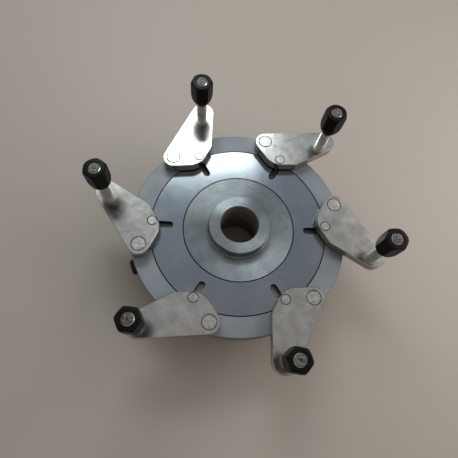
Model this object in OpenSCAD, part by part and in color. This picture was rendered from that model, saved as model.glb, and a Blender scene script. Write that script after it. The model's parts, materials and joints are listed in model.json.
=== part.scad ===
// Six-arm swing-jaw lathe chuck. Origin: centre of the back mounting face. +Z points at the work.

/* [Front face] */
// Outer diameter of the fixed front ring
ring_d = 400; // [396:1:404]
// Diameter of the slotted drive disc
disc_d = 326; // [324:0.5:326.5]
// Diameter of the fixed centre hub
hub_d = 205.8; // [204:0.2:206]
// Diameter of the raised centre boss
boss_d = 112.6; // [108:0.2:116]
// Diameter of the bore through the hub
bore_d = 70.2; // [60:0.2:76]
// Height of the boss above the front face
boss_rise = 19; // [14:1:24]
// Depth of the shallow conical dish around the boss
dish_depth = 2.5; // [1:0.5:6]
// Radial gap at the seam between ring and disc
seam_gap = 0.8; // [0.5:0.1:1]

/* [Drive slots] */
// Width of each radial slot in the drive disc
slot_w = 13; // [12.8:0.1:13.6]
// Distance from the axis to the inner end of a slot
slot_start = 121.4; // [118:0.2:123]
// Depth of each slot below the front face
slot_depth = 15; // [12:0.5:17]
// Angle by which the slots trail the drive pins at rest
slot_lag = 0.68; // [0.6:0.01:0.75]

/* [Arms] */
// Distance from the axis to each arm pivot
pivot_r = 183.5; // [182.5:0.5:184]
// Distance from the pivot to the grip post
post_reach = 117; // [110:0.5:124]
// Angle of the post at rest, from straight outwards
arm_rest = -69.5; // [-71:0.5:-68]
// Distance from the pivot to the drive pin
crank = 49; // [48.5:0.1:49.5]
// Angle from the post line to the drive pin
crank_angle = -59.5; // [-60:0.5:-59]
// Thickness of an arm plate
arm_t = 19; // [16:1:22]
// Gap between the front face and the arms
arm_gap = 3; // [2.5:0.5:4]

/* [Pins and posts] */
// Diameter of the pivot pin's head in the arm
pivot_head_d = 25; // [22:0.5:26]
// Diameter of the pivot pin's journal in the ring
pivot_d = 20; // [18:0.5:20]
// Diameter of the drive pin in the arm
drive_head_d = 17; // [15:0.5:18]
// Diameter of the drive pin's tip in the slot
drive_tip_d = 8.6; // [8:0.1:8.8]
// Diameter of the steel grip posts
post_d = 20; // [18:0.5:22]
// Height of the post tops above the front face
post_rise = 112; // [100:1:120]
// Height of the pin heads above the arm plates
pin_proud = 0.8; // [0.2:0.1:1.2]

/* [Grips] */
// Width of a hexagonal grip across its flats
grip_af = 36; // [34:0.5:38]
// Diameter that the corners of a grip are turned down to
grip_d = 41; // [38.5:0.5:41]
// Length of a grip
grip_len = 57; // [50:1:62]
// Length of a grip's rounded lower end
grip_taper = 26; // [20:1:30]
// Length of a grip's rounded top
grip_crown = 6; // [5:1:12]

/* [Body depth] */
// Thickness of the spindle adapter
adapter_t = 20; // [20:1:24]
// Overall depth from the mounting face to the front face
body_h = 106; // [106:1:108]
// Thickness of the front ring
ring_t = 34; // [34:1:35]
// Thickness of the drive disc
disc_t = 24; // [24:0.5:25]

/* [Drive gears] */
// Gear module
gear_m = 3; // [3]
// Teeth on the pinion
pinion_n = 12; // [12]
// Teeth that a full crown gear would have
crown_n = 100; // [100]
// Teeth on the crown gear sector
sector_n = 11; // [10:1:12]
// Azimuth of the pinion about the chuck axis
pinion_az = 185; // [184:0.5:186]
// Width of the pinion's hexagonal key end across its flats
key_af = 27; // [24:0.5:27]

/* [Hidden] */
$fn = 96;
arm_count = 6;
pitch = 360 / arm_count;
eps = 0.01;
edge = 1.2;                     // chamfer on large machined edges
fine = 0.5;                     // chamfer on small machined edges
run = 0.05;                     // radial clearance of a running fit

front_z = body_h;
ring_z = front_z - ring_t;
disc_z = front_z - disc_t;
arm_z = front_z + arm_gap;
arm_top = arm_z + arm_t;
pin_top = arm_top + pin_proud;
case_r = 188;                   // outside of the casing wall
wall_r = 165;                   // inside of the casing wall
inner_wall_r = 126;             // outside of the wall that carries the disc
spigot_r = 96;                  // centring spigot under the hub
through_r = 40;                 // clearance bore through casing and adapter
hub_seat_z = 66;                // face that the hub stands on
inner_wall_z = 78;              // top of the inner wall
floor_t = 12;                   // thickness of the casing floor
bush_wall = 5;                  // radial thickness of the disc's journal bush
block_w = 46;                   // width of the pinion's bearing block
block_foot = 18;                // how far the block reaches below the pinion axis
block_bush_r = 12;              // outside of the bush in the block
block_screw_y = 16.5;           // the block's screws, either side of the pinion

// The drive pin seen from the chuck axis, with the pivot at azimuth 0
pin_x = pivot_r + crank * cos(arm_rest + crank_angle);
pin_y = crank * sin(arm_rest + crank_angle);
slot_az = atan2(pin_y, pin_x) - slot_lag;

// Gear sizes
pinion_r = gear_m * pinion_n / 2;
crown_r = gear_m * crown_n / 2;
pressure = 20;
crown_root_z = disc_z - 6;
root_depth = 3.2;               // crown tooth above its pitch plane
tip_depth = 1.8;                // crown tooth below its pitch plane
pitch_z = crown_root_z - root_depth;
pinion_z = pitch_z - pinion_r;
pinion_slack = 0.25;            // taken off each pinion flank
crown_slack = 0.4;              // taken off each crown flank
face_in = crown_r - 6;          // inner end of the crown teeth
face_out = crown_r + 6;         // outer end of the crown teeth
tooth_step = 360 / crown_n;
sector_from = -(sector_n - 3) * tooth_step;      // azimuth of the first tooth, from the pinion
sector_span = (sector_n - 1) * tooth_step + 4;
sector_screw_az = [for (t = [0.1, 0.5, 0.9]) pinion_az + sector_from - 2 + t * sector_span];

// Screws: shank radius, head radius, head height
M12 = [6, 9, 12];
M10 = [5, 8, 10];
M6 = [3, 5, 6];
ring_screw_r = 176.5;
hub_screw_r = 75;
adapter_screw_r = 112;
sector_screw_r = 136;

// Spindle side of the adapter
adapter_r = 130;
register_r = 69.86;
register_depth = 14;
stud_pcd = 171.4;
stud_hole_r = 8.65;

grip_top = front_z + post_rise - 2;
grip_rim = 2.5;                              // from a grip's flats to the edge of its top face
grip_turns = [57, 26, 0, 23, 50, 45];      // how far each grip is turned on its post

// Arm plate in its own frame: centre and radius of each rounded corner
arm_corners = [[0, 0, 19.5], [post_reach, -2.5, 22], [54, -44, 10], [28.3, -18.5, 34.5]];
pin_at_arm = crank * [cos(crank_angle), sin(crank_angle)];

// ---- helpers ----

// A hollow cylinder between two heights
module ring_at(outer, inner, z0, z1) {
    translate([0, 0, z0]) difference() {
        cylinder(r = outer, h = z1 - z0);
        translate([0, 0, -1]) cylinder(r = inner, h = z1 - z0 + 2);
    }
}

// A cylinder with both ends chamfered
module pin_at(radius, z0, z1, cham = 0.5) {
    rotate_extrude() polygon([
        [0, z0], [radius - cham, z0], [radius, z0 + cham],
        [radius, z1 - cham], [radius - cham, z1], [0, z1]]);
}

// Children repeated round the chuck axis at a radius
module around(count, radius, first = 0) {
    for (i = [0:count - 1]) rotate(first + i * 360 / count) translate([radius, 0, 0]) children();
}

// Children in the frame of arm k: origin on the pivot, +X towards the grip post
module at_arm(k) {
    rotate((k - 1) * pitch) translate([pivot_r, 0, 0]) rotate(arm_rest) children();
}

// Children in the frame of the pinion: +X is now +Z of the children, outwards from the chuck axis
module on_pinion_axis() {
    rotate(pinion_az) translate([0, 0, pinion_z]) rotate([0, 90, 0]) children();
}

// A socket head screw pointing along +Z, with its head face at z = 0
module cap_screw(size, length) {
    difference() {
        union() {
            pin_at(size[1], 0, size[2], fine);
            translate([0, 0, size[2] - eps]) cylinder(r = size[0], h = length + eps);
        }
        translate([0, 0, -1]) cylinder(r = size[1] * 0.56, h = size[2] * 0.55 + 1, $fn = 6);
    }
}

// The space that a cap screw needs: counterbore and threaded hole
module screw_hole(size, length) {
    translate([0, 0, -1]) cylinder(r = size[1] + 0.5, h = size[2] + 2);
    cylinder(r = size[0], h = size[2] + length);
}

// ---- fixed body ----

module adapter_flange() {
    color("dimgray") difference() {
        rotate_extrude() polygon([
            [register_r, 0], [adapter_r - edge, 0], [adapter_r, edge],
            [adapter_r, adapter_t - edge], [adapter_r - edge, adapter_t],
            [through_r, adapter_t], [through_r, register_depth], [register_r, register_depth]]);
        around(6, stud_pcd / 2) translate([0, 0, -1]) cylinder(r = stud_hole_r, h = adapter_t + 2);
        around(6, adapter_screw_r, 30) screw_hole(M12, adapter_t);
    }
}

module body_casing() {
    color("slategray") difference() {
        rotate_extrude() polygon([
            [through_r, adapter_t], [case_r - 4, adapter_t], [case_r, adapter_t + 4],
            [case_r, ring_z], [wall_r, ring_z], [wall_r, adapter_t + floor_t],
            [inner_wall_r, adapter_t + floor_t], [inner_wall_r, inner_wall_z],
            [spigot_r, inner_wall_z], [spigot_r, hub_seat_z], [through_r, hub_seat_z]]);
        // notch that takes the pinion's bearing block
        rotate(pinion_az) translate([wall_r - 5, -block_w / 2, pinion_z - block_foot])
            cube([40, block_w, 60]);
        // blind bore for the pinion's inner bush
        on_pinion_axis() translate([0, 0, 110]) cylinder(r = 11, h = 20);
        around(12, ring_screw_r, 15) translate([0, 0, adapter_t]) screw_hole(M10, ring_z);
        around(6, hub_screw_r, 30) translate([0, 0, adapter_t]) screw_hole(M12, hub_seat_z);
        around(6, adapter_screw_r, 30) cylinder(r = M12[0], h = 42);
        around(2, ring_screw_r, 30) translate([0, 0, ring_z - 12]) cylinder(r = 4, h = 20);
        for (s = [-1, 1]) rotate(pinion_az) translate([ring_screw_r, s * block_screw_y, 24])
            cylinder(r = M6[0], h = 20);
    }
}

module outer_ring() {
    r = ring_d / 2;
    bore = disc_d / 2 + seam_gap;
    color("lightsteelblue") difference() {
        rotate_extrude() polygon([
            [bore, ring_z], [r - edge, ring_z], [r, ring_z + edge],
            [r, front_z - edge], [r - edge, front_z],
            [bore + fine, front_z], [bore, front_z - fine]]);
        around(arm_count, pivot_r) translate([0, 0, ring_z - 1])
            cylinder(r = pivot_d / 2 + 2.5, h = ring_t + 2);
        around(arm_count, pivot_r) translate([0, 0, ring_z - 1])
            cylinder(r = pivot_d / 2 + 4, h = 9);
        around(12, ring_screw_r, 15) translate([0, 0, ring_z - 1]) cylinder(r = M10[0], h = 21);
        around(2, ring_screw_r, 30) translate([0, 0, ring_z - 1]) cylinder(r = 4, h = 13);
    }
}

module center_hub() {
    r = hub_d / 2;
    b = boss_d / 2;
    fillet = 2;
    dish_z = front_z - dish_depth;
    boss_z = front_z + boss_rise;
    flat_depth = 2;
    color("gray") difference() {
        rotate_extrude() polygon(concat(
            [[bore_d / 2, hub_seat_z], [spigot_r, hub_seat_z], [spigot_r, inner_wall_z],
             [r, inner_wall_z], [r, front_z - fine], [r - fine, front_z],
             [b + fillet, dish_z]],
            [for (a = [-75:15:-15]) [b + fillet + fillet * sin(a), dish_z + fillet - fillet * cos(a)]],
            [[b, dish_z + fillet + 0.2], [b, boss_z - edge], [b - edge, boss_z],
             [bore_d / 2 + edge, boss_z], [bore_d / 2, boss_z - edge]]));
        // small flat on one side of the boss
        rotate(-138) translate([b - flat_depth, -b / 2, dish_z + 6])
            cube([flat_depth + 1, b, dish_depth + boss_rise]);
        around(6, hub_screw_r, 30) translate([0, 0, hub_seat_z - 1]) cylinder(r = M12[0], h = 19);
    }
}

module thrust_washer() {
    color("goldenrod") ring_at(inner_wall_r - 1, hub_d / 2 + 4, inner_wall_z, disc_z - run);
}

module pivot_bushes() {
    color("goldenrod") around(arm_count, pivot_r) difference() {
        union() {
            translate([0, 0, ring_z + 8]) cylinder(r = pivot_d / 2 + 2.5, h = ring_t - 8);
            translate([0, 0, front_z]) cylinder(r = pivot_d / 2 + 6, h = arm_gap - run);
        }
        cylinder(r = pivot_d / 2 + run, h = body_h + 10);
    }
}

module pinion_block() {
    color("dimgray") difference() {
        rotate(pinion_az) translate([wall_r + 0.5, -block_w / 2, pinion_z - block_foot])
            cube([case_r - wall_r - 3, block_w, ring_z - pinion_z + block_foot]);
        on_pinion_axis() translate([0, 0, wall_r - 1]) cylinder(r = block_bush_r, h = 30);
        for (s = [-1, 1]) rotate(pinion_az) translate([ring_screw_r, s * block_screw_y, 0]) {
            cylinder(r = M6[0], h = ring_z + 1);
            translate([0, 0, ring_z - 7]) cylinder(r = M6[1] + 0.5, h = 10);
        }
    }
}

module pinion_bushes() {
    color("goldenrod") on_pinion_axis() {
        ring_at(block_bush_r, 10 + run, wall_r + 0.5, case_r - 2.5);
        ring_at(11, 7 + run, 112, inner_wall_r);
    }
}

module ring_screws() {
    color("#333") around(12, ring_screw_r, 15) translate([0, 0, adapter_t + 1])
        cap_screw(M10, ring_z - adapter_t + 6);
}

module hub_screws() {
    color("#333") around(6, hub_screw_r, 30) translate([0, 0, adapter_t + 1])
        cap_screw(M12, hub_seat_z - adapter_t + 3);
}

module adapter_screws() {
    color("#333") around(6, adapter_screw_r, 30) translate([0, 0, 1]) cap_screw(M12, 26);
}

module block_screws() {
    color("#333") for (s = [-1, 1]) rotate(pinion_az)
        translate([ring_screw_r, s * block_screw_y, ring_z - 1]) mirror([0, 0, 1]) cap_screw(M6, 38);
}

module dowel_pins() {
    color("silver") around(2, ring_screw_r, 30) pin_at(4, ring_z - 12, ring_z + 11);
}

// ---- turning disc ----

module drive_disc() {
    r = disc_d / 2;
    lip = 6;
    bore = hub_d / 2 + 0.6;
    bush_r = hub_d / 2 + bush_wall;
    color("lightsteelblue") difference() {
        rotate_extrude() polygon([
            [bush_r, disc_z], [r - fine, disc_z], [r, disc_z + fine],
            [r, front_z - fine], [r - fine, front_z],
            [bore + fine, front_z], [bore, front_z - fine],
            [bore, front_z - lip], [bush_r, front_z - lip]]);
        around(arm_count, slot_start + slot_w / 2, slot_az)
            translate([0, 0, front_z - slot_depth]) {
                cylinder(r = slot_w / 2, h = slot_depth + 1);
                translate([0, -slot_w / 2, 0]) cube([60, slot_w, slot_depth + 1]);
            }
        for (a = sector_screw_az) rotate(a) translate([sector_screw_r, 0, disc_z - 1])
            cylinder(r = M6[0], h = 13);
    }
}

module journal_bush() {
    color("goldenrod") ring_at(hub_d / 2 + bush_wall, hub_d / 2 + run, disc_z, front_z - 6);
}

module gear_sector() {
    half = gear_m * PI / 4 - crown_slack;
    foot = half + root_depth * tan(pressure);
    tip = half - tip_depth * tan(pressure);
    color("darkgray") difference() {
        union() {
            rotate(pinion_az + sector_from - 2) rotate_extrude(angle = sector_span)
                translate([130, crown_root_z]) square([disc_d / 2 - 132, disc_z - crown_root_z]);
            for (i = [0:sector_n - 1]) rotate(pinion_az + sector_from + i * tooth_step)
                translate([face_in, 0, crown_root_z]) rotate([90, 0, 90])
                    linear_extrude(face_out - face_in) polygon([
                        [-foot, 0.5], [-foot, 0], [-tip, -root_depth - tip_depth],
                        [tip, -root_depth - tip_depth], [foot, 0], [foot, 0.5]]);
        }
        for (a = sector_screw_az) rotate(a) translate([sector_screw_r, 0, crown_root_z - 1])
            cylinder(r = M6[0], h = 10);
    }
}

module sector_screws() {
    color("#333") for (a = sector_screw_az) rotate(a)
        translate([sector_screw_r, 0, crown_root_z - 6]) cap_screw(M6, 15);
}

// ---- pinion ----

// Point on the involute of a base circle after unrolling t degrees
function involute(base, t) = [
    base * (cos(t) + t * PI / 180 * sin(t)),
    base * (sin(t) - t * PI / 180 * cos(t))];

function turned(p, a) = [p[0] * cos(a) - p[1] * sin(a), p[0] * sin(a) + p[1] * cos(a)];

module pinion_tooth() {
    base = pinion_r * cos(pressure);
    outer = pinion_r + 2;
    unroll = sqrt(pow(outer / base, 2) - 1) * 180 / PI;
    flank = (gear_m * PI / 4 - pinion_slack) / pinion_r * 180 / PI
        + (tan(pressure) * 180 / PI - pressure);
    steps = 5;
    right = [for (i = [0:steps]) turned(involute(base, unroll * i / steps), -flank)];
    left = [for (i = [steps:-1:0]) [right[i][0], -right[i][1]]];
    polygon(concat([turned([base - 4, 0], -flank)], right, left, [turned([base - 4, 0], flank)]));
}

module drive_pinion() {
    root = pinion_r - 2.7;
    key_r = key_af / 2 / cos(30);
    color("dimgray") on_pinion_axis() {
        translate([0, 0, 113]) cylinder(r = 7, h = inner_wall_r - 112);
        translate([0, 0, inner_wall_r + 0.5]) cylinder(r = 10, h = case_r - inner_wall_r - 1);
        translate([0, 0, crown_r - 8]) linear_extrude(16) {
            circle(r = root);
            for (i = [0:pinion_n - 1]) rotate((i + 0.5) * 360 / pinion_n) pinion_tooth();
        }
        difference() {
            intersection() {
                translate([0, 0, case_r - 1]) rotate(30) cylinder(r = key_r, h = 23, $fn = 6);
                rotate_extrude() polygon([
                    [0, case_r - 1], [key_r + 1, case_r - 1], [key_r + 1, case_r + 17.5],
                    [key_af / 2 - 1, case_r + 22], [0, case_r + 22]]);
            }
            translate([0, 0, case_r + 20]) cylinder(r1 = 1.5, r2 = 3, h = 3);
        }
    }
}

module pinion_collar() {
    color("dimgray") on_pinion_axis() ring_at(13, 10, crown_r + 8, wall_r + 0.3);
}

// ---- swing arms ----

module arm(k) {
    cham = 1;
    color("gainsboro") at_arm(k) difference() {
        hull() for (c = arm_corners) translate([c[0], c[1], 0]) pin_at(c[2], arm_z, arm_top, cham);
        translate([0, 0, arm_z - 1]) cylinder(r = pivot_head_d / 2, h = arm_t + 2);
        translate([pin_at_arm[0], pin_at_arm[1], arm_z - 1]) cylinder(r = drive_head_d / 2, h = arm_t + 2);
        translate([post_reach, 0, arm_z - 1]) cylinder(r = post_d / 2, h = arm_t + 2);
    }
}

module pivot_pin(k) {
    low = ring_z + 1;
    groove = 2;
    color("silver") at_arm(k) rotate_extrude() polygon([
        [0, low], [pivot_d / 2 - fine, low], [pivot_d / 2, low + fine],
        [pivot_d / 2, low + 2], [pivot_d / 2 - 1.2, low + 2],
        [pivot_d / 2 - 1.2, low + 2 + groove], [pivot_d / 2, low + 2 + groove],
        [pivot_d / 2, arm_z], [pivot_head_d / 2, arm_z], [pivot_head_d / 2, pin_top - edge],
        [pivot_head_d / 2 - edge, pin_top], [0, pin_top]]);
}

module pin_clip(k) {
    color("#333") at_arm(k) difference() {
        ring_at(pivot_d / 2 + 2.4, pivot_d / 2 - 1.2, ring_z + 3.1, ring_z + 4.9);
        translate([0, -3, ring_z]) cube([20, 6, 10]);
    }
}

module drive_pin(k) {
    low = front_z - slot_depth + 1.5;
    color("silver") at_arm(k) translate([pin_at_arm[0], pin_at_arm[1], 0]) rotate_extrude() polygon([
        [0, low], [drive_tip_d / 2 - fine, low], [drive_tip_d / 2, low + fine],
        [drive_tip_d / 2, arm_z], [drive_head_d / 2, arm_z], [drive_head_d / 2, pin_top - edge],
        [drive_head_d / 2 - edge, pin_top], [0, pin_top]]);
}

module grip_post(k) {
    top = front_z + post_rise;
    drill = 2.4;
    color("lightgray") at_arm(k) translate([post_reach, 0, 0]) rotate_extrude() polygon([
        [0, arm_z], [post_d / 2 - fine, arm_z], [post_d / 2, arm_z + fine],
        [post_d / 2, top - 2], [post_d / 2 - 2, top], [drill, top], [drill / 2, top - 2.5],
        [drill / 2, top - 6], [0, top - 7]]);
}

// Outline of a grip's turned envelope: rounded lower end, straight middle, rounded top
function grip_outline(low) =
    let (r = grip_d / 2, foot = post_d / 2 + 0.8, top = grip_af / 2 - grip_rim, steps = 5)
    concat(
        [[0, low]],
        [for (i = [0:steps]) [foot + (r - foot) * sin(90 * i / steps), low + grip_taper * i / steps]],
        [for (i = [0:steps]) [
            top + (r - top) * cos(90 * i / steps),
            grip_top - grip_crown + grip_crown * sin(90 * i / steps)]],
        [[0, grip_top]]);

module grip(k) {
    low = grip_top - grip_len;
    corner = grip_af / 2 / cos(30);
    color("#181818") at_arm(k) translate([post_reach, 0, 0]) difference() {
        intersection() {
            rotate(grip_turns[k - 1]) translate([0, 0, low]) cylinder(r = corner, h = grip_len, $fn = 6);
            rotate_extrude() polygon(grip_outline(low));
        }
        translate([0, 0, low - 1]) cylinder(r = post_d / 2, h = grip_len + 2);
        translate([0, 0, grip_top - 1]) cylinder(r = post_d / 2 + 1, h = 2);
    }
}

// ---- assembly ----

adapter_flange();
body_casing();
outer_ring();
center_hub();
thrust_washer();
pivot_bushes();
pinion_block();
pinion_bushes();
ring_screws();
hub_screws();
adapter_screws();
block_screws();
dowel_pins();
drive_disc();
journal_bush();
gear_sector();
sector_screws();
drive_pinion();
pinion_collar();
for (k = [1:arm_count]) {
    arm(k);
    pivot_pin(k);
    pin_clip(k);
    drive_pin(k);
    grip_post(k);
    grip(k);
}
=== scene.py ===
"""The looks of the six-arm lathe chuck: edge finish, materials, floor, light and camera."""
import json
import math

import bpy
from mathutils import Matrix, Vector


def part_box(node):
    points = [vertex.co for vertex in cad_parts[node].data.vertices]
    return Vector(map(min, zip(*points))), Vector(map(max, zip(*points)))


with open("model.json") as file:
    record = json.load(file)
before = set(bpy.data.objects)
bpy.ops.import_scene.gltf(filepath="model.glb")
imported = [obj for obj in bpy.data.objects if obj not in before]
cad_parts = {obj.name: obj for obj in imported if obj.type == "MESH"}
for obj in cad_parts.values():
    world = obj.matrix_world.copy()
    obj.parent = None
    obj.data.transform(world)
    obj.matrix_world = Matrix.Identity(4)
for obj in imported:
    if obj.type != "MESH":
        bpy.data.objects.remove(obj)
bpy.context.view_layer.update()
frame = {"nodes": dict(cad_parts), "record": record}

MM = 0.001
ARMS = range(1, 7)
ARM_STEP = 60               # degrees from one arm to the next
ARM_REST = -69.5            # direction of arm 1 at rest, in degrees
NODES = frame["nodes"]
FRONT_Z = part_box("outer_ring")[1].z
POST_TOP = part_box("grip_post_1")[1].z
DISC_EDGE = 163 * MM        # radius of the seam between disc and ring
HUB_EDGE = 102.9 * MM       # radius of the seam between hub and disc
BORE_R = 35.1 * MM
BORE_BAND = 0.4 * MM        # how far outside that radius the bore's tone reaches
SLOT_DEPTH = 15 * MM
SLOT_LIP = 0.6 * MM         # depth below the face from which painted shade darkens the slot walls
SLOT_BAND = 0.3 * MM        # height over a slot's floor that takes the floor's tone
ROD_END = 1.2 * MM          # height of the rough end on top of a post
SEAM_SHADE = 1.3 * MM       # how far the painted shade in a seam's gap reaches
# painted shade: the near-black tone laid along the seams' gaps
SHADE_IN_SEAMS = (0.01, 0.01, 0.01)
PIN_SHADE = 1.1 * MM        # how far the painted shade in the gap round a pin reaches
# painted shade: the dark tone laid in the gap round each pin
SHADE_ROUND_PINS = (0.045, 0.042, 0.038)
EDGE_ROUND = 0.35 * MM      # width of the small bevel on every edge
WELD_GAP = 0.002 * MM       # split CAD vertices this close are joined
SHARP_ANGLE = 25            # degrees from which an edge is bevelled


# ---- node graph helpers ----

def set_stops(node, stops):
    """Sets a colour ramp from (position, colour) stops; a colour may be one grey number."""
    bar = node.color_ramp.elements
    while len(bar) < len(stops):
        bar.new(0.5)
    for element, (position, colour) in zip(bar, stops):
        grey = isinstance(colour, (int, float))
        element.position = position
        element.color = (colour, colour, colour, 1) if grey else (*colour, 1)


class Graph:
    """A material's node tree, built by naming nodes and linking sockets."""

    def __init__(self, name):
        self.material = bpy.data.materials.new(name)
        self.material.use_nodes = True
        self.tree = self.material.node_tree
        self.shader = self.tree.nodes["Principled BSDF"]
        self.place = self.add("ShaderNodeTexCoord").outputs["Object"]

    def add(self, kind, settings=None, **sockets):
        """A new node; an underscore in a socket's name stands for a space."""
        node = self.tree.nodes.new(kind)
        for key, value in (settings or {}).items():
            setattr(node, key, value)
        for key, value in sockets.items():
            self.feed(value, node.inputs[key.replace("_", " ")])
        return node

    def feed(self, value, socket):
        """Links a socket to socket, or sets it to a number or tuple."""
        if isinstance(value, bpy.types.NodeSocket):
            self.tree.links.new(value, socket)
        else:
            socket.default_value = value

    def math(self, operation, *values):
        node = self.add("ShaderNodeMath", {"operation": operation})
        for value, socket in zip(values, node.inputs):
            self.feed(value, socket)
        return node.outputs[0]

    def mapped(self, scale=(1, 1, 1), turn=0.0, source=None):
        node = self.add("ShaderNodeMapping")
        self.feed(source or self.place, node.inputs["Vector"])
        node.inputs["Scale"].default_value = scale
        node.inputs["Rotation"].default_value = (0, 0, turn)
        return node.outputs[0]

    def noise(self, scale, detail=3.0, rough=0.55, vector=None):
        node = self.add("ShaderNodeTexNoise", Scale=scale, Detail=detail, Roughness=rough)
        self.feed(vector or self.place, node.inputs["Vector"])
        return node.outputs["Fac"]

    def ramp(self, value, *stops):
        """The colour that value picks from (position, colour) stops."""
        node = self.add("ShaderNodeValToRGB")
        self.feed(value, node.inputs["Fac"])
        set_stops(node, stops)
        return node.outputs["Color"]

    def mix(self, fac, first, second):
        """Colour between first and second, each a socket or a red, green, blue triple."""
        node = self.add("ShaderNodeMix", {"data_type": "RGBA"})
        self.feed(fac, node.inputs["Factor"])
        colours = [socket for socket in node.inputs if socket.type == "RGBA"]
        for value, socket in zip((first, second), colours):
            self.feed(value if isinstance(value, bpy.types.NodeSocket) else (*value, 1), socket)
        return next(socket for socket in node.outputs if socket.type == "RGBA")

    def near(self, value, centre, width):
        """1 where value lies within half of width from centre, falling to 0 at width."""
        gap = self.math("ABSOLUTE", self.math("SUBTRACT", value, centre))
        step = self.math("DIVIDE", gap, width / 2)
        node = self.add("ShaderNodeClamp", Value=self.math("SUBTRACT", 2.0, step))
        return node.outputs[0]

    def xyz(self):
        split = self.add("ShaderNodeSeparateXYZ")
        self.feed(self.place, split.inputs[0])
        return split.outputs

    def height(self):
        """Height above the chuck's back face."""
        return self.xyz()[2]

    def radius(self, centre=(0, 0)):
        """Distance from the chuck axis, or from another upright axis."""
        place = self.xyz()
        x = self.math("SUBTRACT", place[0], centre[0])
        y = self.math("SUBTRACT", place[1], centre[1])
        squares = self.math("ADD", self.math("MULTIPLY", x, x), self.math("MULTIPLY", y, y))
        return self.math("SQRT", squares)

    def rings(self, scale, detail=4.0):
        """Noise that depends on the distance from the axis and the height: turning marks."""
        join = self.add("ShaderNodeCombineXYZ", X=self.radius(), Y=self.height())
        return self.noise(scale, detail, 0.6, join.outputs[0])

    def bump(self, height, strength, distance):
        node = self.add("ShaderNodeBump", Strength=strength, Distance=distance, Height=height)
        self.feed(node.outputs[0], self.shader.inputs["Normal"])

    def finish(self, metallic=1.0, color=None, rough=None, **fixed):
        """Sets the shader; a socket that is already linked keeps its link."""
        self.shader.inputs["Metallic"].default_value = metallic
        if color is not None:
            is_socket = isinstance(color, bpy.types.NodeSocket)
            self.feed(color if is_socket else (*color, 1), self.shader.inputs["Base Color"])
        if rough is not None:
            self.feed(rough, self.shader.inputs["Roughness"])
        for key, value in fixed.items():
            self.shader.inputs[key.replace("_", " ")].default_value = value
        return self.material


# ---- materials ----

def satin_ring():
    """The front ring: pale blue-grey steel, finely turned, too dull to mirror the window."""
    g = Graph("satin_ring")
    cloud = g.noise(9, 4)
    fine = g.rings(2600, 3)
    tone = g.ramp(cloud, (0.35, (0.205, 0.225, 0.245)), (0.65, (0.262, 0.280, 0.298)))
    speck = g.ramp(g.noise(240, 2, 0.7), (0.68, 0.0), (0.76, 0.35))
    tone = g.mix(speck, tone, (0.11, 0.12, 0.13))
    # painted shade along the seam between ring and disc
    tone = g.mix(g.near(g.radius(), DISC_EDGE, SEAM_SHADE), tone, SHADE_IN_SEAMS)
    rough = g.ramp(g.noise(22, 3), (0.3, 0.60), (0.7, 0.70))
    g.bump(fine, 0.10, 0.0002)
    return g.finish(color=tone, rough=rough)


def ground_steel():
    """The disc: blue-grey, mirrors the window softly; slot walls darkened with painted shade,
    milled slot floors.
    """
    g = Graph("ground_steel")
    cloud = g.noise(13, 5, 0.6)
    fine = g.rings(2600, 3)
    tone = g.ramp(cloud, (0.32, (0.190, 0.210, 0.230)), (0.68, (0.250, 0.268, 0.286)))
    tone = g.mix(g.ramp(fine, (0.3, 0.0), (0.8, 0.16)), tone, (0.165, 0.18, 0.195))
    speck = g.ramp(g.noise(240, 2, 0.7), (0.68, 0.0), (0.76, 0.35))
    tone = g.mix(speck, tone, (0.12, 0.13, 0.14))
    # painted shade along the seams at the ring and at the hub
    for seam in (DISC_EDGE, HUB_EDGE):
        tone = g.mix(g.near(g.radius(), seam, SEAM_SHADE), tone, SHADE_IN_SEAMS)
    depth = g.math("SUBTRACT", FRONT_Z, g.height())
    sunk_in_shade = g.math("GREATER_THAN", depth, SLOT_LIP)
    slot_floor = g.math("GREATER_THAN", depth, SLOT_DEPTH - SLOT_BAND)
    milled = g.ramp(g.noise(330, 3, 0.65), (0.38, (0.16, 0.155, 0.14)), (0.62, (0.42, 0.41, 0.38)))
    # painted shade: everything sunk more than SLOT_LIP below the face, such as the slot walls,
    # turns near black
    tone = g.mix(sunk_in_shade, tone, (0.015, 0.015, 0.015))
    tone = g.mix(slot_floor, tone, milled)
    shine = g.ramp(g.noise(22, 3), (0.3, 0.13), (0.7, 0.19))
    rough = g.math("ADD", shine, g.math("MULTIPLY", sunk_in_shade, 0.3))
    g.bump(fine, 0.07, 0.0002)
    return g.finish(color=tone, rough=rough)


def turned_steel():
    """The hub: concentric tool marks spread its highlights into fans; a dull, dark bore."""
    g = Graph("turned_steel")
    radius = g.radius()
    coarse = g.rings(700, 4)
    fine = g.rings(4200, 2)
    cloud = g.noise(30, 5, 0.65)
    tone = g.ramp(cloud, (0.3, (0.170, 0.188, 0.194)), (0.7, (0.285, 0.305, 0.308)))
    tone = g.mix(g.ramp(coarse, (0.35, 0.0), (0.7, 0.35)), tone, (0.11, 0.12, 0.125))
    # painted shade along the seam between hub and disc
    tone = g.mix(g.near(radius, HUB_EDGE, SEAM_SHADE), tone, SHADE_IN_SEAMS)
    inside = g.math("LESS_THAN", radius, BORE_R + BORE_BAND)
    tone = g.mix(inside, tone, (0.14, 0.125, 0.105))
    g.feed(g.math("SUBTRACT", 1.0, inside), g.shader.inputs["Metallic"])
    rough = g.ramp(coarse, (0.3, 0.22), (0.7, 0.34))
    both = g.math("ADD", coarse, g.math("MULTIPLY", fine, 0.5))
    g.bump(both, 0.2, 0.0003)
    tangent = g.add("ShaderNodeTangent", {"direction_type": "RADIAL", "axis": "Z"})
    g.feed(tangent.outputs[0], g.shader.inputs["Tangent"])
    return g.finish(color=tone, rough=rough, Anisotropic=0.82, Anisotropic_Rotation=0.25)


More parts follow.
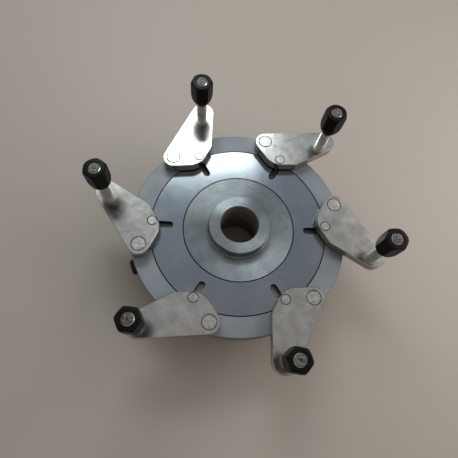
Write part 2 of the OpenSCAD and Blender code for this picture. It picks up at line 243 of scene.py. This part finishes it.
def casing_steel():
    """The drum behind the ring: plain turned steel."""
    g = Graph("casing_steel")
    marks = g.rings(900, 3)
    tone = g.ramp(g.noise(14, 4), (0.3, (0.20, 0.21, 0.22)), (0.7, (0.30, 0.31, 0.32)))
    g.bump(marks, 0.2, 0.0003)
    return g.finish(color=tone, rough=g.ramp(marks, (0.3, 0.34), (0.7, 0.5)))


def arm_plate(k):
    """Milled plate: warm pale grey with a cloudy bloom, drawn scratches and worn patches."""
    g = Graph(f"arm_plate_{k}")
    along = -math.radians(ARM_STEP * (k - 1) + ARM_REST)
    drawn = g.noise(140, 3, 0.6, g.mapped((0.25, 5, 1), 0, g.mapped(turn=along)))
    cloud = g.noise(38 + 3 * k, 6, 0.68)
    patch = g.noise(11 + k, 3)
    tone = g.ramp(cloud, (0.3, (0.335, 0.32, 0.29)), (0.52, (0.415, 0.40, 0.37)),
                  (0.74, (0.505, 0.49, 0.455)))
    tone = g.mix(g.ramp(patch, (0.42, 0.0), (0.72, 0.5)), tone, (0.31, 0.29, 0.255))
    tone = g.mix(g.ramp(drawn, (0.62, 0.0), (0.75, 0.3)), tone, (0.50, 0.50, 0.48))
    # painted shade: a dark ring in the gap round each pivot and drive pin
    for pin in (f"pivot_pin_{k}", f"drive_pin_{k}"):
        low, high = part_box(pin)
        centre = (low + high) / 2
        edge = g.near(g.radius((centre.x, centre.y)), (high.x - low.x) / 2, PIN_SHADE)
        tone = g.mix(edge, tone, SHADE_ROUND_PINS)
    rough = g.ramp(cloud, (0.3, 0.17), (0.75, 0.28))
    height = g.math("ADD", cloud, g.math("MULTIPLY", drawn, 0.6))
    g.bump(height, 0.06, 0.0003)
    return g.finish(color=tone, rough=rough)


def pin_steel():
    """Pin heads: the tone of the plates, a little scuffed."""
    g = Graph("pin_steel")
    scuff = g.noise(140, 3, 0.6)
    tone = g.ramp(scuff, (0.35, (0.36, 0.35, 0.325)), (0.65, (0.46, 0.45, 0.42)))
    g.bump(scuff, 0.10, 0.0003)
    return g.finish(color=tone, rough=g.ramp(scuff, (0.3, 0.2), (0.7, 0.36)))


def post_steel():
    """Bright ground rod, a little uneven along its length, with a dark rough end on top."""
    g = Graph("post_steel")
    bands = g.noise(60, 4, 0.6, g.mapped((1, 1, 6)))
    tone = g.ramp(bands, (0.3, (0.50, 0.49, 0.47)), (0.7, (0.68, 0.68, 0.67)))
    end = g.math("GREATER_THAN", g.height(), POST_TOP - ROD_END)
    mill = g.ramp(g.noise(420, 3, 0.6), (0.38, (0.06, 0.057, 0.05)), (0.62, (0.20, 0.19, 0.175)))
    tone = g.mix(end, tone, mill)
    shine = g.ramp(bands, (0.3, 0.12), (0.7, 0.24))
    rough = g.math("ADD", shine, g.math("MULTIPLY", end, 0.45))
    g.bump(bands, 0.1, 0.0003)
    return g.finish(color=tone, rough=rough)


def black_grip():
    """Black moulded nylon: semi-matt, finely pebbled, greyer where it has rubbed."""
    g = Graph("black_grip")
    pebble = g.noise(900, 3, 0.6)
    rub = g.noise(70, 4, 0.65)
    tone = g.ramp(rub, (0.4, (0.002, 0.002, 0.0025)), (0.75, (0.006, 0.006, 0.0065)))
    g.bump(pebble, 0.2, 0.0002)
    return g.finish(0.0, tone, g.ramp(rub, (0.3, 0.34), (0.75, 0.48)), Specular_IOR_Level=0.10)


def black_oxide(name, low, high):
    """Blackened steel between two grey levels."""
    g = Graph(name)
    mottle = g.noise(160, 4, 0.6)
    tone = g.ramp(mottle, (0.35, (low, low, low * 1.05)), (0.7, (high, high, high * 1.05)))
    g.bump(mottle, 0.15, 0.0002)
    return g.finish(0.85, tone, g.ramp(mottle, (0.3, 0.34), (0.7, 0.5)))


def bronze():
    """Bushes and thrust washer: warm yellow metal."""
    g = Graph("bronze")
    marks = g.noise(120, 4, 0.6)
    tone = g.ramp(marks, (0.3, (0.40, 0.25, 0.10)), (0.7, (0.62, 0.42, 0.20)))
    g.bump(marks, 0.15, 0.0002)
    return g.finish(color=tone, rough=g.ramp(marks, (0.3, 0.26), (0.7, 0.42)))


def gear_steel():
    """The gear sector: mid grey, slightly mottled."""
    g = Graph("gear_steel")
    marks = g.noise(200, 4, 0.6)
    tone = g.ramp(marks, (0.3, (0.26, 0.26, 0.27)), (0.7, (0.42, 0.42, 0.43)))
    g.bump(marks, 0.2, 0.0002)
    return g.finish(color=tone, rough=g.ramp(marks, (0.3, 0.3), (0.7, 0.45)))


# ---- edges and shading of the CAD nodes ----

def polish(obj):
    """Joins the split CAD vertices, rounds the sharp edges and shades smoothly."""
    mesh = obj.data
    if "custom_normal" in mesh.attributes:
        mesh.attributes.remove(mesh.attributes["custom_normal"])
    mesh.shade_smooth()
    weld = obj.modifiers.new("join", "WELD")
    weld.merge_threshold = WELD_GAP
    bevel = obj.modifiers.new("edges", "BEVEL")
    bevel.width = EDGE_ROUND
    bevel.segments = 2
    bevel.limit_method = "ANGLE"
    bevel.angle_limit = math.radians(SHARP_ANGLE)
    bevel.harden_normals = True
    bevel.use_clamp_overlap = True


def dress(obj, material):
    obj.data.materials.clear()
    obj.data.materials.append(material)


def dress_all():
    """Gives each CAD node its edges and its material: an own one, or that of its slot."""
    made = {
        "ground_steel": ground_steel(), "turned_steel": turned_steel(),
        "casing_steel": casing_steel(), "pin_steel": pin_steel(), "post_steel": post_steel(),
        "black_grip": black_grip(), "bronze": bronze(), "gear_steel": gear_steel(),
        "dark_steel": black_oxide("dark_steel", 0.06, 0.13),
        "black_oxide": black_oxide("black_oxide", 0.012, 0.03),
        "black_screws": black_oxide("black_screws", 0.02, 0.05),
    }
    own = {f"arm_{k}": arm_plate(k) for k in ARMS}
    own["outer_ring"] = satin_ring()
    for row in frame["record"]["subparts"]:
        name = row["node"]
        dress(NODES[name], own.get(name) or made[row["material_slot"]])
        polish(NODES[name])


dress_all()


# ---- floor, light and camera ----

FLOOR_SIZE = 40.0
FLOOR_TONE = (0.355, 0.313, 0.275)
FLOOR_ROUGH = 0.5

# The camera stands over the chuck, a little to one side, and is rolled
CAMERA = {"lens": 30.63, "azimuth": -23.97, "elevation": 68.84, "roll": 11.28, "distance": 0.7244}
CAMERA_TARGET = Vector((-0.0183, 0.0012, FRONT_Z))

# Directions from the chuck, in degrees, and sizes in metres
WINDOW = {"azimuth": 79.9, "elevation": 50.2, "distance": 1.62, "size": (0.625, 0.375),
          "power": 6.0}
SECOND = {"azimuth": 102, "elevation": 44, "distance": 1.6, "size": (0.5, 0.4), "power": 3.6}
SIDE = {"azimuth": -4, "elevation": 32, "distance": 1.3, "size": (1.2, 0.7), "power": 8.2}

# Colour of the room against the cosine of the angle from the window
ROOM_TONES = ((0.0, (0.40, 0.37, 0.345)), (0.80, (0.46, 0.455, 0.455)),
              (0.955, (0.57, 0.62, 0.68)), (0.985, (0.78, 0.89, 1.0)))


def direction(azimuth, elevation):
    az, el = math.radians(azimuth), math.radians(elevation)
    return Vector((math.cos(az) * math.cos(el), math.sin(az) * math.cos(el), math.sin(el)))


def floor():
    """A plain pale floor under the chuck."""
    mesh = bpy.data.meshes.new("floor")
    half = FLOOR_SIZE / 2
    corners = [(-half, -half, 0), (half, -half, 0), (half, half, 0), (-half, half, 0)]
    mesh.from_pydata(corners, [], [(0, 1, 2, 3)])
    obj = bpy.data.objects.new("floor", mesh)
    bpy.context.scene.collection.objects.link(obj)
    g = Graph("floor")
    dress(obj, g.finish(0.0, FLOOR_TONE, FLOOR_ROUGH, Specular_IOR_Level=0.3))


def world_light():
    """A dim room: warm grey all round, blue-grey and brighter about the window."""
    world = bpy.data.worlds.new("studio")
    world.use_nodes = True
    tree = world.node_tree
    back = tree.nodes["Background"]
    spot = tree.nodes.new("ShaderNodeTexCoord")
    toward = tree.nodes.new("ShaderNodeVectorMath")
    toward.operation = "DOT_PRODUCT"
    toward.inputs[1].default_value = direction(WINDOW["azimuth"], WINDOW["elevation"])
    ramp = tree.nodes.new("ShaderNodeValToRGB")
    set_stops(ramp, ROOM_TONES)
    tree.links.new(spot.outputs["Generated"], toward.inputs[0])
    tree.links.new(toward.outputs["Value"], ramp.inputs["Fac"])
    tree.links.new(ramp.outputs[0], back.inputs["Color"])
    back.inputs["Strength"].default_value = 1.0
    bpy.context.scene.world = world


def area_light(name, setup, color):
    """A rectangular light in the direction that setup gives, aimed at the chuck."""
    data = bpy.data.lights.new(name, "AREA")
    data.shape = "RECTANGLE"
    data.size, data.size_y = setup["size"]
    data.energy = setup["power"]
    data.color = color
    place = CAMERA_TARGET + setup["distance"] * direction(setup["azimuth"], setup["elevation"])
    obj = bpy.data.objects.new(name, data)
    obj.location = place
    obj.rotation_euler = (CAMERA_TARGET - place).to_track_quat("-Z", "Y").to_euler()
    bpy.context.scene.collection.objects.link(obj)


def camera_axes():
    """The camera's right, up and backward directions."""
    az, el, roll = (math.radians(CAMERA[k]) for k in ("azimuth", "elevation", "roll"))
    back = Vector((math.sin(az) * math.cos(el), -math.cos(az) * math.cos(el), math.sin(el)))
    right = Vector((math.cos(az), math.sin(az), 0))
    up = back.cross(right)
    side = math.cos(roll) * right + math.sin(roll) * up
    return side, back.cross(side), back


def camera():
    side, up, back = camera_axes()
    data = bpy.data.cameras.new("camera")
    data.lens = CAMERA["lens"]
    data.sensor_width = 36
    data.clip_start = 0.05
    obj = bpy.data.objects.new("camera", data)
    place = CAMERA_TARGET + CAMERA["distance"] * back
    turn = Matrix((side, up, back)).transposed().to_4x4()
    obj.matrix_world = Matrix.Translation(place) @ turn
    bpy.context.scene.collection.objects.link(obj)
    bpy.context.scene.camera = obj


floor()
world_light()
camera()
area_light("window", WINDOW, (0.92, 1.0, 1.0))
area_light("second", SECOND, (0.95, 1.0, 0.98))
area_light("side", SIDE, (1.0, 0.95, 0.90))
bpy.context.scene.view_settings.view_transform = "Standard"
